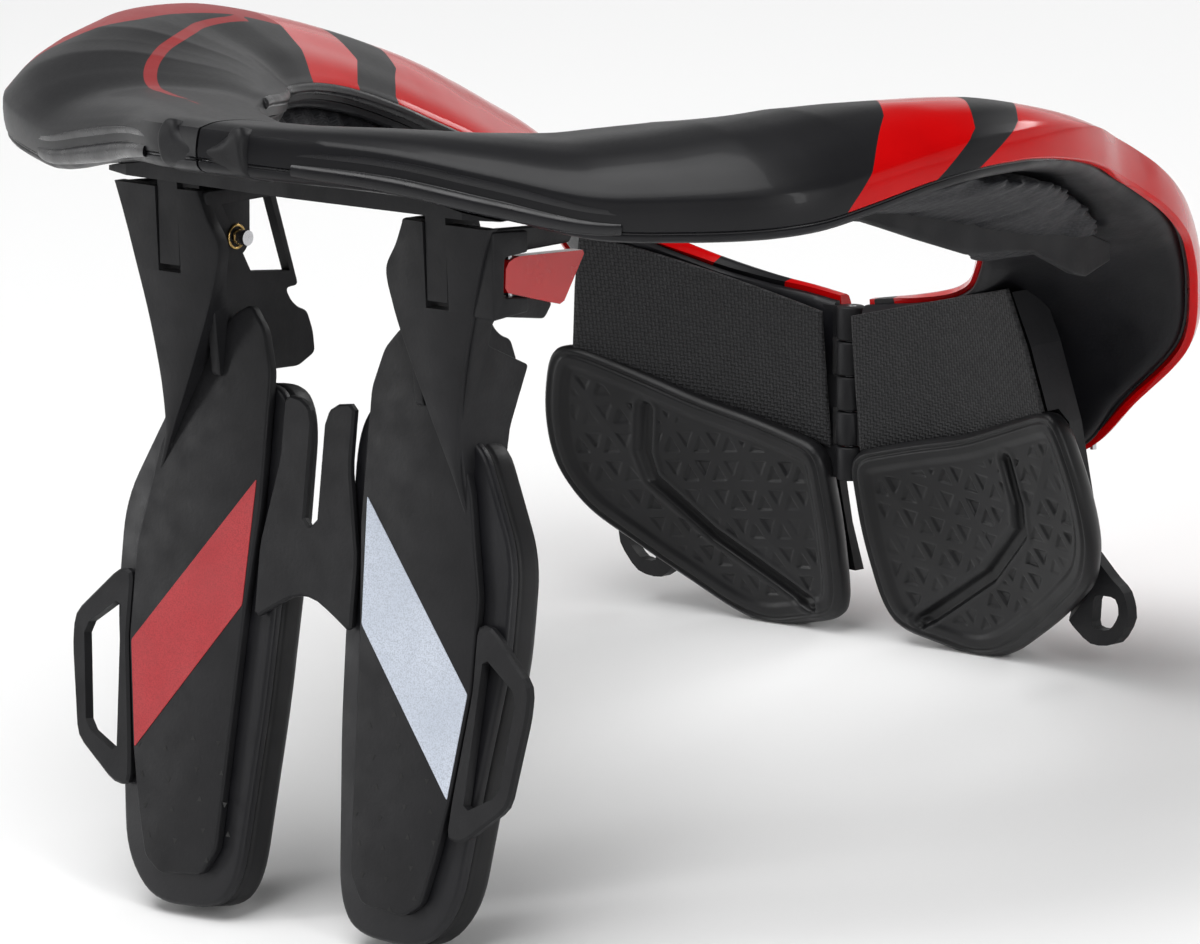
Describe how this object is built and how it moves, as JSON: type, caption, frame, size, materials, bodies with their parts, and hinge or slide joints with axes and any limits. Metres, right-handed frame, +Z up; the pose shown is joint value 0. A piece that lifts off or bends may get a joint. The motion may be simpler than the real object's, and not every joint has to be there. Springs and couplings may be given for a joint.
{
  "type": "motocross neck brace",
  "caption": "Neck brace for motocross: a domed collar in two hinged halves on the shoulders, with padded back struts, chest pads and pull levers.",
  "frame": {"origin": "centre of the bottom of the whole brace, on the surface it stands on", "axes": "+Z up; the wearer faces -Y; +X is the wearer's left"},
  "size_m": [0.3168, 0.2806, 0.2243],
  "materials": {
    "shell_left": "satin black with glossy red blocks",
    "shell_right": "satin black with glossy red blocks",
    "tray": "matt black moulding",
    "frame": "grained black moulding",
    "backing": "matt black sheet",
    "pad": "moulded closed-cell foam, embossed",
    "liner": "smooth knitted cover over foam",
    "mesh": "open woven mesh",
    "trim": "satin rubber",
    "lever": "glossy red",
    "pin": "turned steel"
  },
  "bodies": {
    "left_half": {"ring_shell_left": "shell_left", "ring_tray_left": "tray", "shoulder_liner_left": "liner", "edge_trim_left": "trim", "shoulder_hook_left": "frame", "latch_block": "frame", "rear_chassis": "frame", "slot_tongue_left": "frame", "slot_tongue_right": "frame", "strut_pin_left": "pin", "strut_pin_right": "pin", "chest_carrier_left": "frame", "chest_fabric_left": "mesh", "chest_pad_left": "pad", "chest_loop_left": "frame", "front_hinge_pin": "pin"},
    "right_half": {"ring_shell_right": "shell_right", "ring_tray_right": "tray", "shoulder_liner_right": "liner", "edge_trim_right": "trim", "shoulder_hook_right": "frame", "chest_carrier_right": "frame", "chest_fabric_right": "mesh", "chest_pad_right": "pad", "chest_loop_right": "frame", "front_lever_pin": "pin"},
    "back_struts": {"strut_frame_left": "frame", "strut_frame_right": "frame", "strut_backing_left": "backing", "strut_backing_right": "backing", "strut_pad_left": "pad", "strut_pad_right": "pad", "strut_loop_left": "frame", "strut_loop_right": "frame", "strut_bridge": "frame", "rear_lever_pin": "pin"},
    "rear_lever": {"rear_lever": "lever"},
    "front_lever": {"front_lever": "lever"}
  },
  "joints": [
    {"name": "collar_opening", "type": "hinge", "parent": "left_half", "child": "right_half", "pos_m": [0, -0.11212, 0.07417], "axis": [0, -0.1873, 0.9823], "range_deg": [0, 35]},
    {"name": "strut_tilt", "type": "hinge", "parent": "left_half", "child": "back_struts", "pos_m": [0, 0.08685, 0.17645], "axis": [1, 0, 0], "range_deg": [-4, 4]},
    {"name": "rear_lever_pull", "type": "hinge", "parent": "back_struts", "child": "rear_lever", "pos_m": [-0.0646, 0.08934, 0.17672], "axis": [0, -0.1873, 0.9823], "range_deg": [-25, 0]},
    {"name": "front_lever_pull", "type": "hinge", "parent": "right_half", "child": "front_lever", "pos_m": [-0.066, -0.13606, 0.06197], "axis": [0, -0.1873, 0.9823], "range_deg": [-25, 0]}
  ]
}
